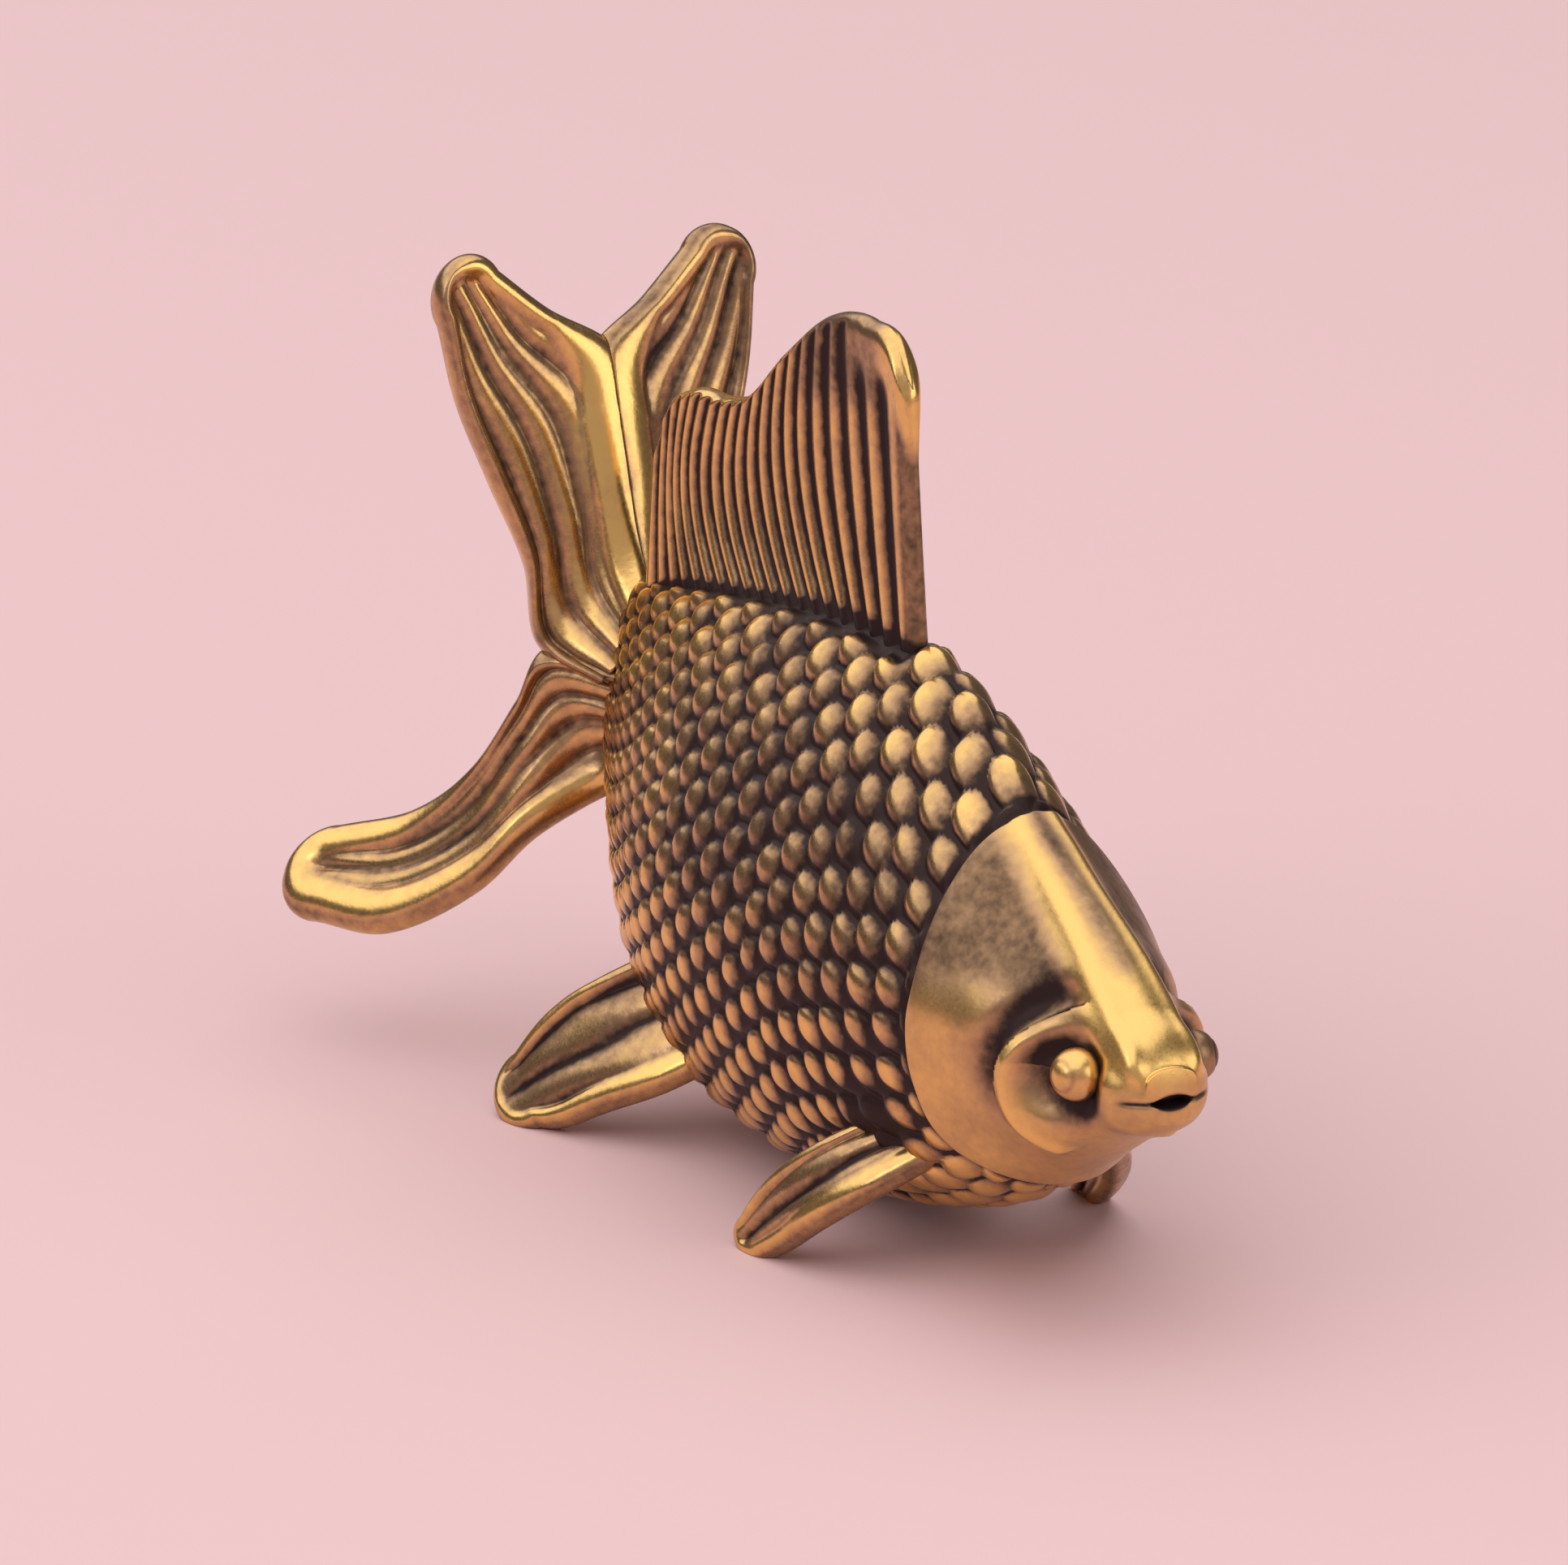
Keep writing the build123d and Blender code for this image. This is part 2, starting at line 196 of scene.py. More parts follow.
def trunk_points(back, q, proud):
    """Return points of the trunk at a length share and a turn q, 0 and 4 at the ridge, 1 on
    the right, 2 under the belly, 3 on the left. Each quarter is a cubic Bezier arc between
    the widest point and the top or bottom, swollen by proud."""
    s = sizes()
    back, q, proud = np.broadcast_arrays(back, q, proud)
    top, bottom, widest, half, ridge = (follow(TRUNK[:, 0], TRUNK[:, k], back) for k in range(1, 6))
    z_top = top * s.back_height + proud
    z_low = bottom * s.back_height - proud
    z_wide = widest * s.back_height
    y_wide = half * s.half_width + proud
    fold = np.where(q <= 2, q, 4 - q)
    above = fold < 1
    t = np.where(above, 1 - fold, fold - 1)
    y_near_end = np.where(above, ridge * s.half_width, 0.55 * y_wide)
    z_end = np.where(above, z_top, z_low)
    z_handle = z_wide + np.where(above, 0.4, 0.55) * (z_end - z_wide)
    a, b, c, d = (1 - t) ** 3, 3 * t * (1 - t) ** 2, 3 * t * t * (1 - t), t ** 3
    y = (a + b) * y_wide + c * y_near_end
    z = a * z_wide + b * z_handle + (c + d) * z_end
    return np.stack([back_from_mouth(back), np.where(q <= 2, -y, y), z], -1)


def gill_edge(q):
    """Return the length share of the gill edge at each turn q, found by settling, and further
    back towards the nape."""
    back = np.full_like(q, 0.2)
    for _ in range(40):
        z = trunk_points(back, q, 0.0)[..., 2] / sizes().back_height
        back = 0.5 * back + 0.5 * follow(GILL[:, 0], GILL[:, 1], np.clip(z, 0.11, 0.96))
    return back + 0.034 * ramp(0.9, 0.2, np.minimum(q, 4 - q))


def lift_jaw(points):
    """Raise the underside in place, by half a millimetre below the jaw and less behind it."""
    x, z = points[..., 0], points[..., 2]
    under = ramp(7.4 * MM, 5.2 * MM, z) * ramp(12.0 * MM, 18.0 * MM, x)
    snout = ramp(8.2 * MM, 6.6 * MM, z) * ramp(18.4 * MM, 21.6 * MM, x)
    points[..., 2] += 0.50 * MM * under + 0.22 * MM * snout


def grid_normals(points):
    """Return unit normals of a grid that closes on itself in its second direction."""
    along = np.gradient(points, axis=0)
    around = np.roll(points, -1, 1) - np.roll(points, 1, 1)
    n = np.cross(along, around)
    return n / np.maximum(np.linalg.norm(n, axis=-1, keepdims=True), 1e-12)


def outward(points):
    """Return normals of a closed tube grid, turned to point away from its middle line."""
    n = grid_normals(points)
    away = points - points.mean(1, keepdims=True)
    return n * np.sign((n * away).sum())


def tube_mesh(name, points, relief):
    """Make a closed piece from a grid of rings and its relief. Each end ring is closed by a
    strip that joins every point to its mirror point, counted back from the ring's end."""
    rings, sides = points.shape[:2]
    i, j = np.meshgrid(np.arange(rings - 1), np.arange(sides), indexing="ij")
    k = (j + 1) % sides
    wall = np.stack([i * sides + j, i * sides + k, (i + 1) * sides + k, (i + 1) * sides + j], -1)
    turn = np.arange(sides // 2 - 1)
    strip = np.stack([turn + 1, turn, sides - 1 - turn, sides - 2 - turn], -1)
    last = strip[:, ::-1] + (rings - 1) * sides
    quads = np.vstack([wall.reshape(-1, 4), strip, last])
    verts = points.reshape(-1, 3)
    tris = np.vstack([quads[:, :3], quads[:, [0, 2, 3]]])
    a, b, c = (verts[tris[:, m]] for m in range(3))
    if (a * np.cross(b, c)).sum() < 0:
        quads = quads[:, ::-1]
    mesh = bpy.data.meshes.new(name)
    mesh.from_pydata(verts, [], quads.tolist())
    mesh.polygons.foreach_set("use_smooth", np.ones(len(mesh.polygons), bool))
    layer = mesh.attributes.new("relief", "FLOAT", "POINT")
    layer.data.foreach_set("value", np.clip(relief, 0, 1).astype(np.float32).ravel())
    mesh.update()
    piece = bpy.data.objects.new(name, mesh)
    bpy.context.scene.collection.objects.link(piece)
    return piece


def half_steps(count, span):
    """Return count places round a ring, half a step off its start so that they pair up."""
    return (np.arange(count) + 0.5) / count * span


def seat(piece, node, material):
    """Set the piece on the frame in place of a CAD node and give it its material."""
    piece.data.materials.append(material)
    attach(piece, "root")
    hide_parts(node)


class Socket:
    """A node socket that makes a math node when it is added, multiplied or compared."""

    def __init__(self, shader, socket):
        self.shader = shader
        self.socket = socket

    def math(self, operation, other):
        """Return a math node of this socket and another socket or number."""
        return self.shader.node("ShaderNodeMath", {0: self, 1: other}, operation=operation)

    def __add__(self, other):
        return self.math("ADD", other)

    def __sub__(self, other):
        return self.math("SUBTRACT", other)

    def __mul__(self, other):
        return self.math("MULTIPLY", other)

    def __pow__(self, other):
        return self.math("POWER", other)

    __radd__ = __add__
    __rmul__ = __mul__


class Shader:
    """A material whose nodes are made and joined by one method."""

    def __init__(self, name):
        self.material = bpy.data.materials.new(name)
        self.material.use_nodes = True
        self.tree = self.material.node_tree
        self.bsdf = self.tree.nodes["Principled BSDF"]

    def feed(self, target, value):
        """Join a socket to a target socket, or set its constant."""
        if isinstance(value, Socket):
            self.tree.links.new(value.socket, target)
        else:
            target.default_value = value

    def node(self, kind, inputs, output=0, **settings):
        """Make any node, set its settings and inputs and return one output."""
        made = self.tree.nodes.new(kind)
        for key, value in settings.items():
            setattr(made, key, value)
        for key, value in inputs.items():
            self.feed(made.inputs[key], value)
        return Socket(self, made.outputs[output])

    def rise(self, value, low, high):
        """Return a smooth 0 to 1 rise of a socket between two values."""
        return self.node("ShaderNodeMapRange", {0: value, 1: low, 2: high},
                         interpolation_type="SMOOTHSTEP")

    def blend(self, share, first, second):
        """Return a colour mixed from two colours."""
        return self.node("ShaderNodeMix", {0: share, 6: first, 7: second}, output=2,
                         data_type="RGBA")

    def grain(self, place, scale, detail):
        """Return noise over the object, in grains for each millimetre."""
        return self.node("ShaderNodeTexNoise", {"Vector": place, "Scale": scale / MM,
                                                "Detail": detail})


def brass(name, polish):
    """Return a brass material: dark patina where the relief is low or the casting is pitted,
    dulled bronze between and gold on what has been rubbed, more of it with more polish. On some
    parts the relief value also carries painted shade and painted highlight."""
    shader = Shader(name)
    c = colours()
    place = shader.node("ShaderNodeTexCoord", {}, output=3)
    relief = shader.node("ShaderNodeAttribute", {}, output=2, attribute_name="relief")
    cloud = shader.grain(place, 0.45, 4.0)
    speck = shader.grain(place, 3.2, 5.0)
    fine = shader.grain(place, 11.0, 3.0)
    uneven = relief + (cloud - 0.5) * 0.35 + (speck - 0.5) * (0.30 - 0.24 * polish)
    clean = shader.rise(uneven, 0.40 - 0.3 * polish, 0.76 - 0.45 * polish)
    rubbed = shader.rise(uneven, 0.64 - 0.4 * polish, 1.04 - 0.4 * polish)
    metal = shader.blend(rubbed, (*c.bronze, 1), (*c.gold, 1))
    shader.feed(shader.bsdf.inputs["Base Color"], shader.blend(clean, (*c.patina, 1), metal))
    rough = 0.42 + 0.14 * polish + clean * -0.16 + rubbed * -0.04 + (fine - 0.5) * 0.2
    shader.feed(shader.bsdf.inputs["Roughness"], rough)
    shader.feed(shader.bsdf.inputs["Metallic"], 0.55 + clean * 0.45)
    shader.feed(shader.bsdf.inputs["Specular IOR Level"], 0.25)
    bump = shader.node("ShaderNodeBump", {"Strength": 0.25, "Distance": 0.04 * MM,
                                          "Height": speck * 0.8 + fine * 0.1})
    shader.feed(shader.bsdf.inputs["Normal"], bump)
    return shader.material


def shared_brass(name, polish):
    """Return the named brass, made the first time it is asked for."""
    return bpy.data.materials.get(name) or brass(name, polish)


def scale_field(u, v, gap):
    """Return the height and the wear of the scales at column u and row v. Scales lie on a
    staggered lattice; each is a domed shingle that rises to a rounded rear edge and runs on
    under the scales in front of it, and the highest shingle at a point wins. The wear is
    nearly even over a shingle, a little more to the rear, and drops at its edge, sooner
    where gap is high."""
    best = np.zeros_like(u)
    wear = np.zeros_like(u)
    for step in (-1, 0, 1, 2):
        column = np.floor(u) + step
        shift = 0.5 * np.mod(column, 2)
        nearest = np.round(v - shift)
        for side in (-1, 0, 1):
            row = nearest + side
            odd = noise(column, row)
            du = u - column - 0.05 * noise(row, column)
            dv = np.abs(v - row - shift - 0.03 * odd)
            reach = np.where(du > 0, 0.62, 1.5)
            inside = np.clip(1 - (du / reach) ** 2 - (dv / (0.455 + 0.015 * odd)) ** 2.3, 0, 1)
            height = inside ** 0.5 * np.maximum(0.66 + 0.50 * du + 0.05 * odd, 0.1)
            slope = 0.50 + 1.4 * (gap - 0.27)
            worn = inside ** gap * np.clip(0.70 + 0.2 * (gap - 0.27) + slope * du + 0.08 * odd, 0.1, 1)
            wear = np.where(height > best, worn, wear)
            best = np.maximum(best, height)
    return best, wear


class FISH_OT_body(bpy.types.Operator):
    """Build the scaled body"""
    bl_idname = "fish.body"
    bl_label = "Body"

    def execute(self, context):
        s = sizes()
        q = half_steps(408, 4)
        start = gill_edge(q) - 0.042 + 0.012 * ramp(1.4, 1.9, np.minimum(q, 4 - q))
        end = 0.790
        t = np.linspace(0, 1, 232)[:, None]
        back = start + (end - start) * t
        smooth = trunk_points(back, q[None], 0.0)
        lift_jaw(smooth)
        levels = np.linspace(0.08, 0.81, 160)
        rings = trunk_points(levels[:, None], q[None], 0.0)
        steps = np.linalg.norm(np.diff(rings, axis=1), axis=-1)
        walked = np.concatenate([np.zeros((160, 1)), np.cumsum(steps, 1)], 1)
        half = walked[:, len(q) // 2]
        share = walked / half[:, None]
        share = np.where(share > 1, 2 - share, share)
        arc = np.stack([np.interp(back[:, k], levels, share[:, k]) for k in range(len(q))], 1)
        pitch = half / s.scale_rows * (1 + 0.55 * ramp(0.36, 0.18, levels))
        steps = np.diff(levels) * s.fish_length / (0.77 * 0.5 * (pitch[1:] + pitch[:-1]))
        columns = np.concatenate([[0], np.cumsum(steps)])
        arc = np.clip(arc, 0, 1)
        row = s.scale_rows * (arc - 0.05 * (1 - np.exp(-arc / 0.12)))
        row = row * (1 - 0.18 * ramp(0.38, 0.18, back))
        throat = ramp(0.66, 0.80, arc) * ramp(0.32, 0.22, back)
        edge_gap = 0.27 + 0.38 * ramp(0.35, 0.65, arc) * (1 - throat)
        field, wear = scale_field(np.interp(back, levels, columns), row, edge_gap)
        behind_head = back - (start + 0.014)
        fin_base = ramp(0.060, 0.035, arc) * ramp(0.345, 0.360, back)
        field = field * (1 - 0.9 * fin_base)
        gap = np.exp(-(((behind_head - 0.004) / 0.006) ** 2))
        tuck = ramp(-0.004, 0.014, behind_head) * (1 - ramp(0.93, 1.0, t))
        depth = s.scale_depth * np.interp(back, levels, half / s.scale_rows) * (1 + 0.25 * ramp(0.2, 0.0, arc))
        rise = depth * (field - 0.45) * tuck - 0.18 * MM * gap
        wear = wear * (1 + 0.22 * ramp(0.24, 0.09, arc) * ramp(0.55, 0.34, back) + 0.40 * throat)
        # Painted shade: the upper front flank is made slightly darker.
        front_flank_shade = ramp(0.14, 0.26, arc) * ramp(0.70, 0.55, arc) * ramp(0.52, 0.40, back)
        # Painted shadow: just behind the head's rear edge the wear falls away, leaving dark patina colour.
        wear = wear * (1 - 0.9 * fin_base) * (1 - 0.05 * front_flank_shade + 0.23 * ramp(0.46, 0.64, arc)) * ramp(0.004, 0.018, behind_head)
        wear = wear * (1 + 0.32 * ramp(0.48, 0.66, back))
        moved = smooth + outward(smooth) * rise[..., None]
        # Painted shade around the roots of the pectoral fins, on both sides.
        recess = np.stack([moved[..., 0], -np.abs(moved[..., 1]), moved[..., 2]], -1)
        recess = np.linalg.norm(recess - paddle_place((0.258, 0.15, 0.278)), axis=-1)
        wear = wear * (1 - 0.80 * ramp(2.1 * MM, 0.9 * MM, recess))
        turn = np.linspace(0.1, 0.97, 12)[:, None, None] * math.pi / 2
        core = smooth[-1].mean(0)
        stump = core + (smooth[-1] - core) * np.cos(turn)
        stump[..., 0] -= 1.1 * MM * np.sin(turn[..., 0])
        wear = np.concatenate([wear, np.full(stump.shape[:2], 0.62)])
        piece = tube_mesh("scaled_body", np.concatenate([moved, stump]), wear)
        seat(piece, "body", shared_brass("cast_brass", 0.0))
        return {"FINISHED"}


def line_distance(line, x, z):
    """Return the distance from points to a smooth line on the side of the head, and which side
    of it they lie on, above 0 behind it."""
    knots = np.linspace(0, 1, len(line))
    pts = follow(knots, line, np.linspace(0, 1, 60)) * MM
    d = np.hypot(x[..., None] - pts[:, 0], z[..., None] - pts[:, 1])
    near = d.argmin(-1)
    tangent = np.gradient(pts, axis=0)[near]
    offset = np.stack([x, z], -1) - pts[near]
    side = np.sign(tangent[..., 0] * offset[..., 1] - tangent[..., 1] * offset[..., 0])
    return d.min(-1), -side


class FISH_OT_head(bpy.types.Operator):
    """Build the head with its gill lip, cheeks, eye hollows and mouth"""
    bl_idname = "fish.head"
    bl_label = "Head"

    def execute(self, context):
        s = sizes()
        q = half_steps(320, 4)
        edge = gill_edge(q) - 0.028
        t = np.linspace(0, 1, 170)[:, None] ** 1.15
        back = edge * t
        nape = ramp(0.45, 0.15, np.minimum(q, 4 - q))
        lip = s.gill_lip * (1 - 1.6 * nape) * np.exp(-(((edge - back) / 0.022) ** 2))
        blunt = 0.0035 * ramp(0.9, 0.3, np.minimum(q, 4 - q))
        wall = trunk_points(np.maximum(back, blunt), q[None], s.head_proud + lip)
        wall[..., 0] = back_from_mouth(back)
        middle = wall[0].mean(0)
        f = np.linspace(0.04, 0.98, 26)[:, None, None]
        face = middle + (wall[0] - middle) * f
        face[..., 0] += 0.12 * MM * (1 - f[..., 0] ** 2)
        turn = np.linspace(0.15, 1, 8)[:, None] * math.pi / 2
        rim = trunk_points(edge + 0.004 * np.sin(turn), q[None],
                           s.head_proud + s.gill_lip * (1 - 1.6 * nape) - 0.35 * MM * (1 - np.cos(turn)))
        shrink = np.linspace(0.93, 0.2, 5)[:, None, None]
        core = rim[-1].mean(0)
        inner = core + (rim[-1] - core) * shrink
        smooth = np.concatenate([face, wall, rim, inner])
        rows = len(face) + len(wall)
        smooth[..., 1] *= 1 - 0.22 * ramp(18.4 * MM, 21.8 * MM, smooth[..., 0])
        lift_jaw(smooth)
        inland = np.concatenate([np.ones((len(face), len(q))), ramp(0.012, 0.07, edge - back),
                                 np.zeros((len(smooth) - rows, len(q)))])
        x, y, z = np.moveaxis(smooth, -1, 0)
        band = np.interp(x, [10 * MM, 14.2 * MM, 18.9 * MM, 21.9 * MM],
                         [0.45 * MM, 0.6 * MM, 0.95 * MM, 1.1 * MM])
        above = ramp(8.6 * MM, 9.4 * MM, z)
        crest = np.exp(-(((np.abs(y) - band) / (0.30 * MM)) ** 2)) * above
        flank = np.exp(-(((np.abs(y) - band - 1.25 * MM) / (0.9 * MM)) ** 2)) * above * inland
        side = ramp(0.25 * MM, 0.9 * MM, np.abs(y) - band)
        low = ramp(4.6 * MM, 6.4 * MM, z) * ramp(10.4 * MM, 9.2 * MM, z)
        cheek, behind = line_distance(CHEEK, x, z)
        eye_x = back_from_mouth(EYE_PLACE[0])
        eye_z = EYE_PLACE[2] * s.back_height
        far = np.hypot(x - eye_x + 0.45 * MM, (z - eye_z + 0.2 * MM) * 0.9)
        inside = behind <= 0
        plate = np.where(inside, 1.0, np.exp(-((cheek / (0.25 * MM)) ** 2)))
        plate = plate * ramp(4.0 * MM, 2.4 * MM, far) * ramp(21.6 * MM, 19.2 * MM, x) * low
        dent = np.where(inside, 0.0, np.exp(-(((cheek - 0.65 * MM) / (0.60 * MM)) ** 2)))
        dent = dent * ramp(5.6 * MM, 8.6 * MM, z) * ramp(12.2 * MM, 10.4 * MM, z)
        groove = np.where(inside, 0.0, np.exp(-((cheek / (0.13 * MM)) ** 2)))
        seam = np.where(inside, 0.0, np.exp(-(((cheek - 0.30 * MM) / (0.16 * MM)) ** 2)))
        seam = seam * ramp(9.4 * MM, 8.2 * MM, z) * ramp(4.2 * MM, 3.2 * MM, far)
        ridge = np.where(inside, np.exp(-(((cheek - 0.38 * MM) / (0.26 * MM)) ** 2)), 0.0) * low
        hollow = np.exp(-((far / (1.28 * MM)) ** 4))
        mouth_z = 0.448 * s.back_height
        lens = (0.05 + 0.11 * np.clip(1 - (y / (0.65 * MM)) ** 2, 0, 1)) * MM
        across = ramp(0.75 * MM, 0.35 * MM, np.abs(y)) * ramp(21.2 * MM, 21.8 * MM, x)
        slit = np.exp(-(((z - mouth_z) / lens) ** 4)) * across
        # Darker in and around the mouth slit.
        mouth_darkening = np.exp(-(((z - mouth_z) / (1.5 * lens)) ** 4)) * across
        crease = np.exp(-(((z - mouth_z) / (0.08 * MM)) ** 2)) * ramp(1.7 * MM, 1.2 * MM, np.abs(y))
        crease = crease * ramp(20.4 * MM, 21.2 * MM, x)
        height = 0.16 * plate - 0.42 * dent - 0.14 * groove + 0.20 * ridge - 0.80 * hollow
        height = side * height + 0.14 * crest - 0.24 * flank
        normal = outward(smooth)
        move = normal * (height * MM)[..., None]
        move[..., 0] -= (0.45 * slit + 0.07 * crease) * MM
        fade = np.ones(len(smooth))
        fade[rows:] = 0
        moved = smooth + move * fade[:, None, None]
        # Painted shade in the eye hollow: the patches above and below the ball and the shade mask darken the
        # colour there.
        angle = np.degrees(np.arctan2(z - eye_z, x - eye_x))
        eye_shade_patch = np.exp(-(((np.abs(angle) - 130) / 50) ** 2)) * (angle > 0)
        under = np.exp(-(((angle + 62) / 34) ** 2))
        eye_shade_patch = np.maximum(eye_shade_patch, under)
        # Ridge and plate are made lighter and the dent, groove and seam darker; the shade terms are painted
        # shade.
        stain = 0.12 * ridge + 0.05 * plate - (0.17 + 0.21 * ramp(18.4 * MM, 17.5 * MM, x)) * dent
        shade = np.exp(-((far / ((1.28 + 0.30 * under) * MM)) ** 4))
        stain = stain - 0.40 * np.maximum(groove, seam) - (0.45 + 0.45 * eye_shade_patch) * shade
        # Painted shade: the upper sides of the head are made darker.
        upper = ramp(9.6 * MM, 11.2 * MM, z) * ramp(0.3 * MM, 1.0 * MM, np.abs(y) - band)
        trough = np.exp(-((y / (0.4 * MM)) ** 2)) * above * ramp(20.6 * MM, 19.0 * MM, x)
        # The flat top of the snout is made lighter, partly rubbed and partly a painted highlight.
        flat = (1 - side) * above * ramp(18.6 * MM, 20.0 * MM, x)
        relief = 0.64 + 0.2 * crest + side * stain - 0.25 * upper - 0.26 * trough + 0.25 * flat
        relief = relief - 0.9 * mouth_darkening - 0.35 * crease
        relief[rows + 2:] = 0.1
        piece = tube_mesh("head_mask", moved, np.clip(relief, 0, 1))
        seat(piece, "head", shared_brass("rubbed_brass", 0.55))
        return {"FINISHED"}


class FISH_OT_eyes(bpy.types.Operator):
    """Build the two eye balls"""
    bl_idname = "fish.eyes"
    bl_label = "Eyes"

    def execute(self, context):
        s = sizes()
        theta = np.linspace(0.03, math.pi - 0.03, 48)[:, None]
        phi = half_steps(64, 2 * math.pi)[None]
        groove = np.exp(-(((theta - 0.62) / 0.10) ** 2))
        radius = s.eye_radius * (1 - 0.02 * groove + 0 * phi)
        ball = np.stack([radius * np.sin(theta) * np.cos(phi), radius * np.sin(theta) * np.sin(phi),
                         radius * np.cos(theta) + 0 * phi], -1)
        aim = Vector(EYE_AIM).to_track_quat("Z", "Y").to_matrix()
        ball = ball @ np.array(aim).T
        place = np.array([back_from_mouth(EYE_PLACE[0]), -EYE_PLACE[1] * s.half_width,
                          EYE_PLACE[2] * s.back_height])
        relief = 0.70 - 0.15 * groove - 0.6 * ramp(1.3, 1.9, theta) + 0 * phi
        # Painted shade: the left eye, on the far side, is made darker.
        for name, flip, far_side_shade in (("right", 1, 0.0), ("left", -1, 0.28)):
            piece = tube_mesh("eye_ball_" + name, (ball + place) * (1, flip, 1), relief - far_side_shade)
            seat(piece, "eye_" + name, shared_brass("rubbed_brass", 0.55))
        return {"FINISHED"}


class FISH_OT_dorsal(bpy.types.Operator):
    """Build the dorsal fin with its rays and thick front rim"""
    bl_idname = "fish.dorsal"
    bl_label = "Dorsal fin"

    def execute(self, context):
        s = sizes()
        run = half_steps(300, 1)
        run = np.concatenate([run, run[::-1]])
        face = np.concatenate([np.full(300, -1.0), np.full(300, 1.0)])
        first, last = DORSAL_TOP[0, 0], DORSAL_TOP[-1, 0]
        edge = first + (last - first) * run ** 0.75
        top_x = back_from_mouth(edge)
        top_z = s.back_height + follow(DORSAL_TOP[:, 0], DORSAL_TOP[:, 1], edge) * s.dorsal_rise
        base = 0.353 + (0.757 - 0.353) * run
        base_x = back_from_mouth(base)
        base_z = follow(TRUNK[:, 0], TRUNK[:, 1], base) * s.back_height - 0.9 * MM
        t = (1 - (1 - np.linspace(0, 1, 76)) ** 1.4)[:, None]
        bow = 1.15 * MM * np.sin(math.pi * t) * ramp(0.0, 0.3, run) * ramp(1.0, 0.7, run)
        x = base_x + (top_x - base_x) * t - bow
        z = base_z + (top_z - base_z) * t
        wave = np.abs(np.sin(math.pi * s.dorsal_rays * run))
        rim = np.maximum(ramp(0.024, 0.014, run), ramp(0.78, 0.90, t) * ramp(0.17, 0.09, run))
        rim = np.maximum(rim, ramp(0.955, 0.985, t))
        ray = wave ** 1.1 * (1 - rim) + rim
        end = np.sqrt(np.clip(1 - (np.clip(t - 0.94, 0, 1) / 0.06) ** 2, 0, 1))
        end = end * np.sqrt(np.clip(1 - (np.clip(np.abs(run - 0.5) - 0.485, 0, 1) / 0.015) ** 2, 0, 1))
        thin = 1.0 - 0.22 * t - 0.42 * ramp(0.07, 0.0, run) * ramp(0.95, 0.7, t)
        half = 0.5 * s.dorsal_thickness * thin * (0.55 + 0.45 * ray) * end
        points = np.stack([x, face * half, z], -1)
        # Rays are rubbed bright. Painted shade darkens the lower front rim and the foot of the fin; a patch
        # high on the front half is also made darker.
        ray_wear_and_shade = 0.92 - 0.42 * ramp(0.032, 0.018, run) * ramp(0.85, 0.7, t)
        ray_wear_and_shade = ray_wear_and_shade - 0.35 * ramp(0.66, 0.82, t) * ramp(0.03, 0.07, run) * ramp(0.36, 0.22, run)
        piece = tube_mesh("dorsal_blade", points, (0.12 + ray_wear_and_shade * 0.88 * ray) * ramp(0.05, 0.11, t))
        seat(piece, "dorsal_fin", shared_brass("cast_brass", 0.0))
        return {"FINISHED"}


def paddle_place(p):
    """Return the point of a lower fin for its three shares."""
    s = sizes()
    return np.array([back_from_mouth(p[0]), -0.5 * s.half_width - p[1] * s.paddle_reach,
                     p[2] * s.back_height])


def tail_place(p):
    """Return the point of a tail lobe for its three shares."""
    s = sizes()
    span = s.tail_rise if p[2] > 0 else s.tail_drop
    return np.array([back_from_mouth(p[0]), -p[1] * s.tail_spread,
                     0.712 * s.back_height + p[2] * span])


FIN_STATIONS = (0.0, 0.55, 0.8)


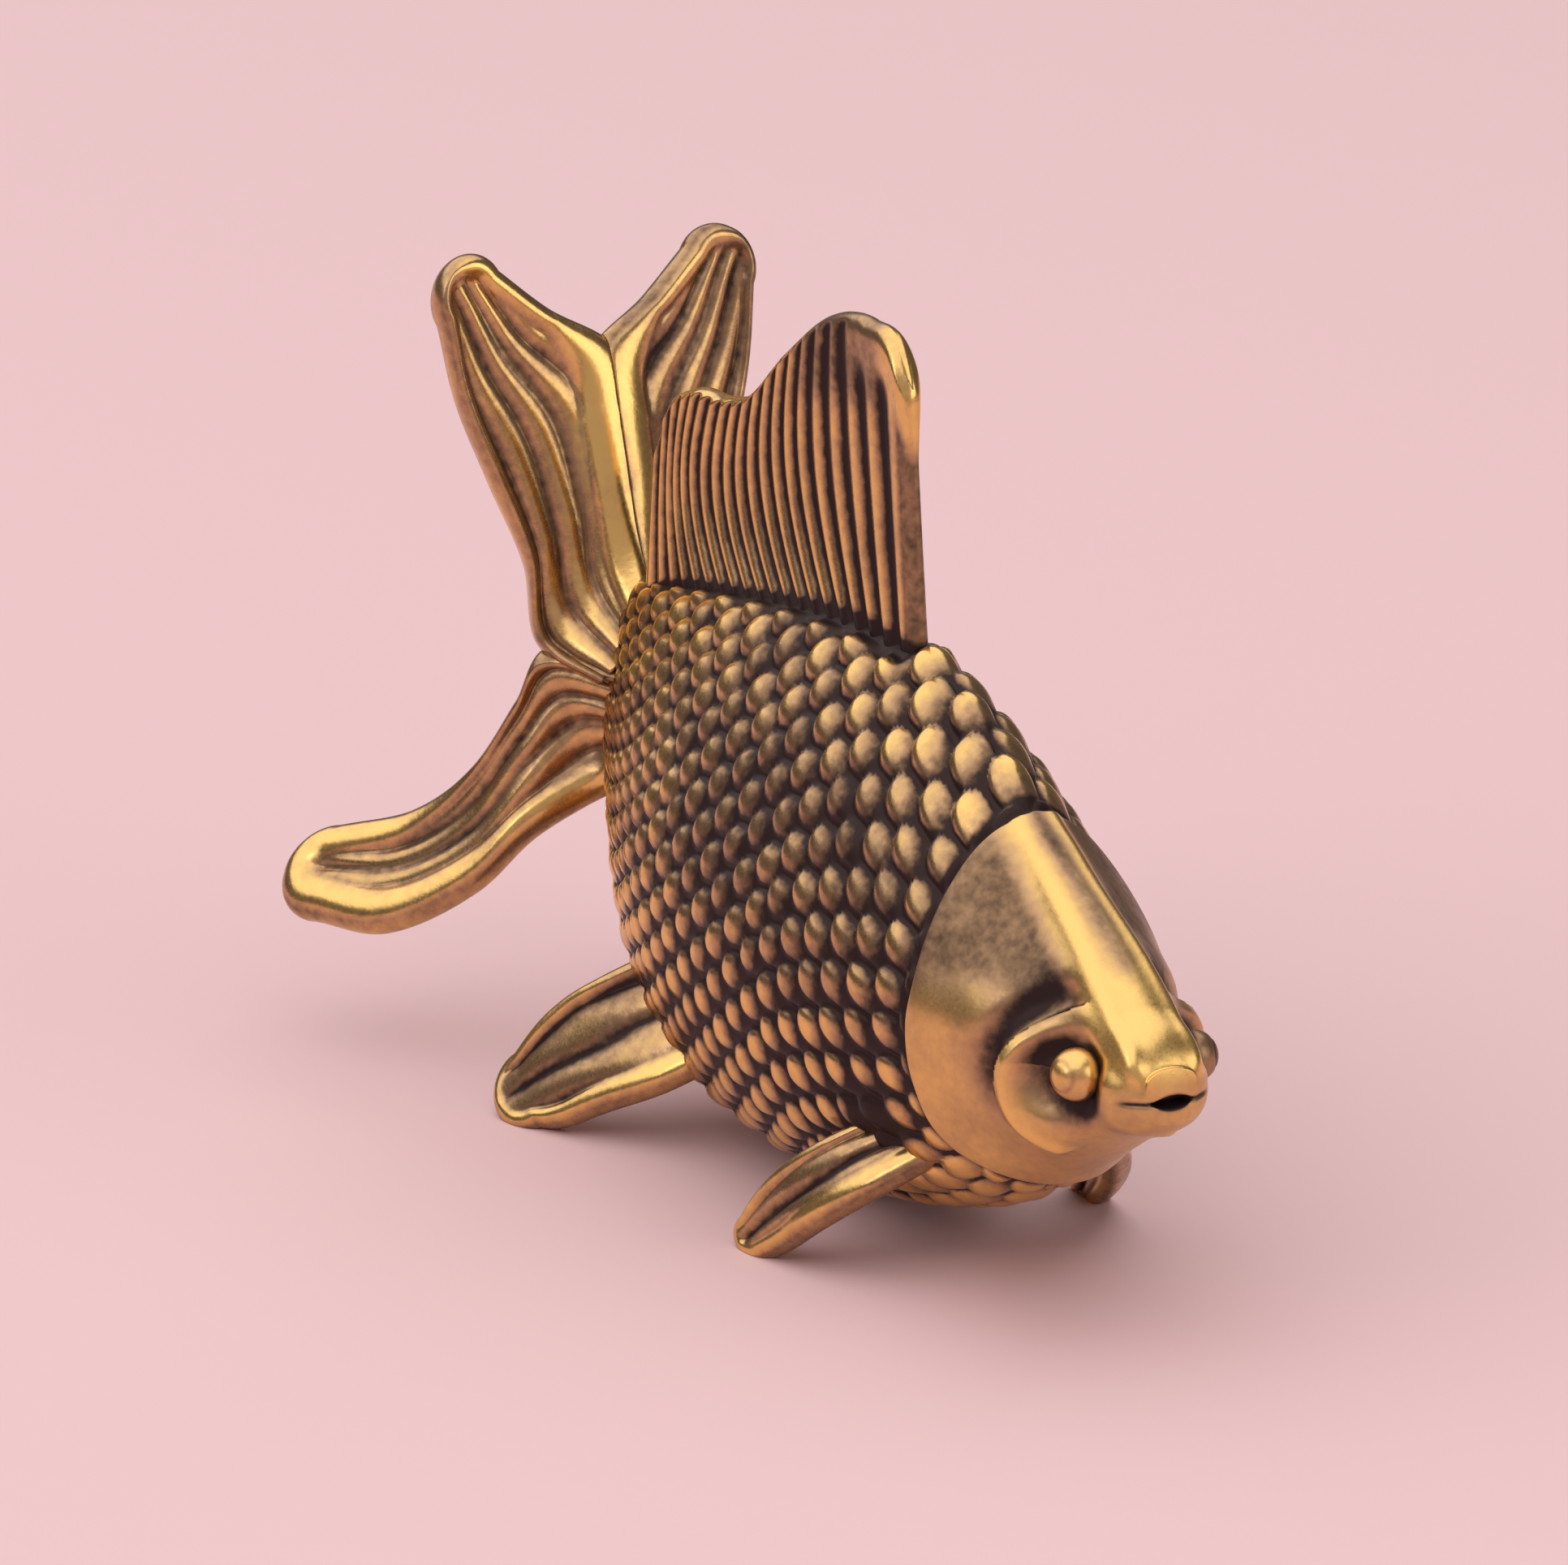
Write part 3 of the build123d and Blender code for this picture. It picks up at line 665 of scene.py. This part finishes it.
def fin_sheet(ribs, place, thickness, rays, middle, worn, stain, beads, shine):
    """Return the points and relief of a right-hand fin. Rings follow the ribs and end in a half
    round tip. Each ring is a flat oval: a round bead runs along both edges and the tip, and
    between the beads the sheet is thinner and rippled by lengthwise rays. The two edges'
    beads are widened by the factors in beads and rubbed bright by those in shine, each given
    at the root, half way and near the tip. The rays between them are rubbed by worn
    and the grooves darkened by stain."""
    first = np.array([place(r[0]) for r in ribs])
    second = np.array([place(r[1]) for r in ribs])
    thick = np.array([r[2] for r in ribs]) * thickness
    centres = (first + second) / 2
    knots = np.concatenate([[0], np.cumsum(np.linalg.norm(np.diff(centres, axis=0), axis=1))])
    knots = knots / knots[-1]
    run = np.linspace(0, 1, 130)
    tip = np.linspace(0, 1, 17)[1:] * 0.98 * math.pi / 2
    a, b, h = (follow(knots, v, run) for v in (first, second, thick))
    centre = (a + b) / 2
    across = (b - a) / 2
    wide = np.linalg.norm(across, axis=1)
    reach = wide[-1]
    onward = centre[-1] - centre[-6]
    onward = onward / np.linalg.norm(onward) * reach
    centre = np.vstack([centre, centre[-1] + onward * np.sin(tip)[:, None]])
    across = np.vstack([across, across[-1] * np.cos(tip)[:, None]])
    h = np.concatenate([h, np.full(len(tip), h[-1])])
    unit = across / np.linalg.norm(across, axis=1, keepdims=True)
    aim = centres[-1] - centres[0]
    aim = aim - unit * (unit @ aim)[:, None]
    up = np.cross(unit, aim / np.linalg.norm(aim, axis=1, keepdims=True))
    phi = half_steps(160, 2 * math.pi)
    side = np.sign(np.cos(phi)) * np.abs(np.cos(phi)) ** 0.8
    off = np.hypot(np.sin(tip)[:, None], np.cos(tip)[:, None] * side)
    inset = np.vstack([wide[:, None] * (1 - np.abs(side)), reach * (1 - off)])
    wide = np.concatenate([wide, np.full(len(tip), reach)])
    along = np.concatenate([run, np.ones(len(tip))])
    second_edge = ramp(-0.5, 0.5, side)

    def edges(factors):
        """Return a factor over the sheet from those given for its two edges."""
        one, two = (np.interp(along, FIN_STATIONS, f)[:, None] for f in np.transpose(factors))
        return one + (two - one) * second_edge

    bead = 0.8 * np.minimum(h, 0.6 * wide)[:, None] * edges(beads)
    rim = np.sqrt(np.clip(1 - ((inset - bead) / bead) ** 2, 0, 1))
    drift = side + 0.04 * np.sin(0.06 * np.arange(len(h))[:, None] + 3 * side)
    wave = np.abs(np.cos(0.5 * math.pi * rays * (drift + 1))) ** 0.7
    plain = np.concatenate([np.zeros(len(run)), np.sin(tip)])[:, None]
    wave = wave + (1 - wave) * plain
    sheet = middle * (0.55 + 0.45 * wave) * np.sqrt(np.clip(inset / bead, 0, 1))
    join = 0.12 * np.clip(inset / bead, 0, 1)
    tall = 0.5 * (rim + sheet + np.sqrt((rim - sheet) ** 2 + join ** 2) - join)
    tall = tall * np.sign(np.sin(phi)) * h[:, None]
    points = centre[:, None] + across[:, None] * side[:, None] + up[:, None] * tall[..., None]
    rubbed = np.maximum(rim ** 2 * edges(shine), worn * wave ** 1.5 * (1 - 0.5 * rim))
    return points, 0.48 + 0.5 * rubbed - stain * (1 - wave) ** 2 * (1 - rim)


class FISH_OT_paddles(bpy.types.Operator):
    """Build the pectoral and pelvic fins that the fish stands on"""
    bl_idname = "fish.paddles"
    bl_label = "Lower fins"

    def execute(self, context):
        s = sizes()
        for kind, ribs, rays in (("pectoral", PECTORAL, 3), ("pelvic", PELVIC, 3)):
            beads = [(0.7, 1.3), (0.8, 1.3), (0.8, 1.0)]
            shine = [(0.6, 0.95), (0.75, 1.0), (0.9, 1.0)]
            points, relief = fin_sheet(ribs, paddle_place, s.paddle_thickness, rays, 0.95, 0.5,
                                       0.22, beads, shine)
            points[..., 2] = np.maximum(points[..., 2], 0.0)
            for side, flip in (("right", 1), ("left", -1)):
                piece = tube_mesh(kind + "_paddle_" + side, points * (1, flip, 1), relief)
                seat(piece, kind + "_fin_" + side, shared_brass("cast_brass", 0.0))
        return {"FINISHED"}


class FISH_OT_tail(bpy.types.Operator):
    """Build the four lobes of the tail"""
    bl_idname = "fish.tail"
    bl_label = "Tail"

    def execute(self, context):
        s = sizes()
        upper = (UPPER_LOBE, [(1.6, 0.3), (2.8, 0.6), (0.9, 0.6)], [(1.1, 0.3), (1.3, 0.5), (0.95, 0.55)])
        lower = (LOWER_LOBE, [(0.5, 1.2), (0.8, 1.4), (1.3, 1.5)], [(0.4, 0.8), (0.6, 0.9), (1.0, 1.0)])
        for kind, worn, (ribs, beads, shine) in (("upper", 0.74, upper), ("lower", 0.66, lower)):
            points, relief = fin_sheet(ribs, tail_place, s.lobe_thickness, 5, 0.68, worn, -0.06,
                                       beads, shine)
            points[..., 1] = np.minimum(points[..., 1], -0.5 * s.tail_seam)
            # Painted shade: the left lobes, on the far side, are made darker.
            for side, flip, far_side_shade in (("right", 1, 0.0), ("left", -1, 0.10)):
                piece = tube_mesh(kind + "_lobe_" + side, points * (1, flip, 1), relief - far_side_shade)
                seat(piece, "tail_" + kind + "_lobe_" + side,
                     shared_brass("cast_brass", 0.0))
        return {"FINISHED"}


def softbox(name, place, target, width, height, power, tint):
    """Add a rectangular area light that faces a target."""
    light = bpy.data.lights.new(name, "AREA")
    light.shape = "RECTANGLE"
    light.size = width
    light.size_y = height
    light.energy = power
    light.color = tint
    lamp = bpy.data.objects.new(name, light)
    lamp.location = place
    lamp.rotation_euler = (Vector(target) - Vector(place)).to_track_quat("-Z", "Y").to_euler()
    bpy.context.scene.collection.objects.link(lamp)


class FISH_OT_stage(bpy.types.Operator):
    """Build the plain floor, the soft lights and the camera"""
    bl_idname = "fish.stage"
    bl_label = "Stage"

    def execute(self, context):
        scene = context.scene
        mesh = bpy.data.meshes.new("floor")
        mesh.from_pydata([(-3, -3, 0), (3, -3, 0), (3, 3, 0), (-3, 3, 0)], [], [(0, 1, 2, 3)])
        floor = bpy.data.objects.new("floor", mesh)
        scene.collection.objects.link(floor)
        shader = Shader("floor")
        shader.feed(shader.bsdf.inputs["Base Color"], (*colours().floor, 1))
        shader.feed(shader.bsdf.inputs["Roughness"], 0.75)
        shader.feed(shader.bsdf.inputs["Specular IOR Level"], 0.2)
        mesh.materials.append(shader.material)
        world = bpy.data.worlds.new("studio")
        scene.world = world
        world.use_nodes = True
        world.node_tree.nodes["Background"].inputs["Color"].default_value = (0.95, 0.85, 0.88, 1)
        world.node_tree.nodes["Background"].inputs["Strength"].default_value = 0.15
        middle = (0, 0, 0.012)
        softbox("top", (-0.10, -0.12, 0.50), middle, 1.50, 1.20, 7.10, (1.0, 0.98, 0.97))
        softbox("side", (0.36, 0.21, 0.17), middle, 0.30, 0.26, 0.40, (1.0, 0.96, 0.9))
        softbox("fill", (0.53, -0.25, 0.22), middle, 0.90, 0.36, 0.36, (1.0, 0.86, 0.88))
        softbox("front", (0.10, -0.40, 0.22), middle, 0.12, 0.20, 0.10, (1.0, 0.95, 0.92))
        turn = math.radians(62.5)
        tilt = math.radians(16.5)
        back = Vector((math.sin(turn) * math.cos(tilt), -math.cos(turn) * math.cos(tilt), math.sin(tilt)))
        camera = bpy.data.objects.new("camera", bpy.data.cameras.new("camera"))
        camera.data.sensor_width = 36.0
        camera.data.lens = 298.14
        camera.data.clip_start = 0.01
        camera.location = Vector((-0.0026, 0.0, 0.01152)) + back * 0.4
        camera.rotation_euler = back.to_track_quat("Z", "Y").to_euler()
        scene.collection.objects.link(camera)
        scene.camera = camera
        scene.view_settings.view_transform = "Standard"
        return {"FINISHED"}


class FISH_PT_panel(bpy.types.Panel):
    """Sizes, colours and build steps of the goldfish"""
    bl_idname = "FISH_PT_panel"
    bl_label = "Goldfish"
    bl_space_type = "VIEW_3D"
    bl_region_type = "UI"
    bl_category = "Goldfish"

    def draw(self, context):
        for group in (context.scene.fish_sizes, context.scene.fish_colours):
            for name in group.__annotations__:
                self.layout.prop(group, name)
        for operator in OPERATORS:
            self.layout.operator(operator.bl_idname)


OPERATORS = (FISH_OT_body, FISH_OT_head, FISH_OT_eyes, FISH_OT_dorsal, FISH_OT_paddles,
             FISH_OT_tail, FISH_OT_stage)
CLASSES = (FishSizes, FishColours, *OPERATORS, FISH_PT_panel)


def register():
    """Register the classes and the scene's settings."""
    for cls in CLASSES:
        bpy.utils.register_class(cls)
    bpy.types.Scene.fish_sizes = PointerProperty(type=FishSizes)
    bpy.types.Scene.fish_colours = PointerProperty(type=FishColours)


def unregister():
    """Remove the classes and the scene's settings."""
    del bpy.types.Scene.fish_colours
    del bpy.types.Scene.fish_sizes
    for cls in reversed(CLASSES):
        bpy.utils.unregister_class(cls)


def main():
    """Build the fish and its stage."""
    register()
    bpy.ops.fish.body()
    bpy.ops.fish.head()
    bpy.ops.fish.eyes()
    bpy.ops.fish.dorsal()
    bpy.ops.fish.paddles()
    bpy.ops.fish.tail()
    bpy.ops.fish.stage()


if __name__ == "__main__":
    main()
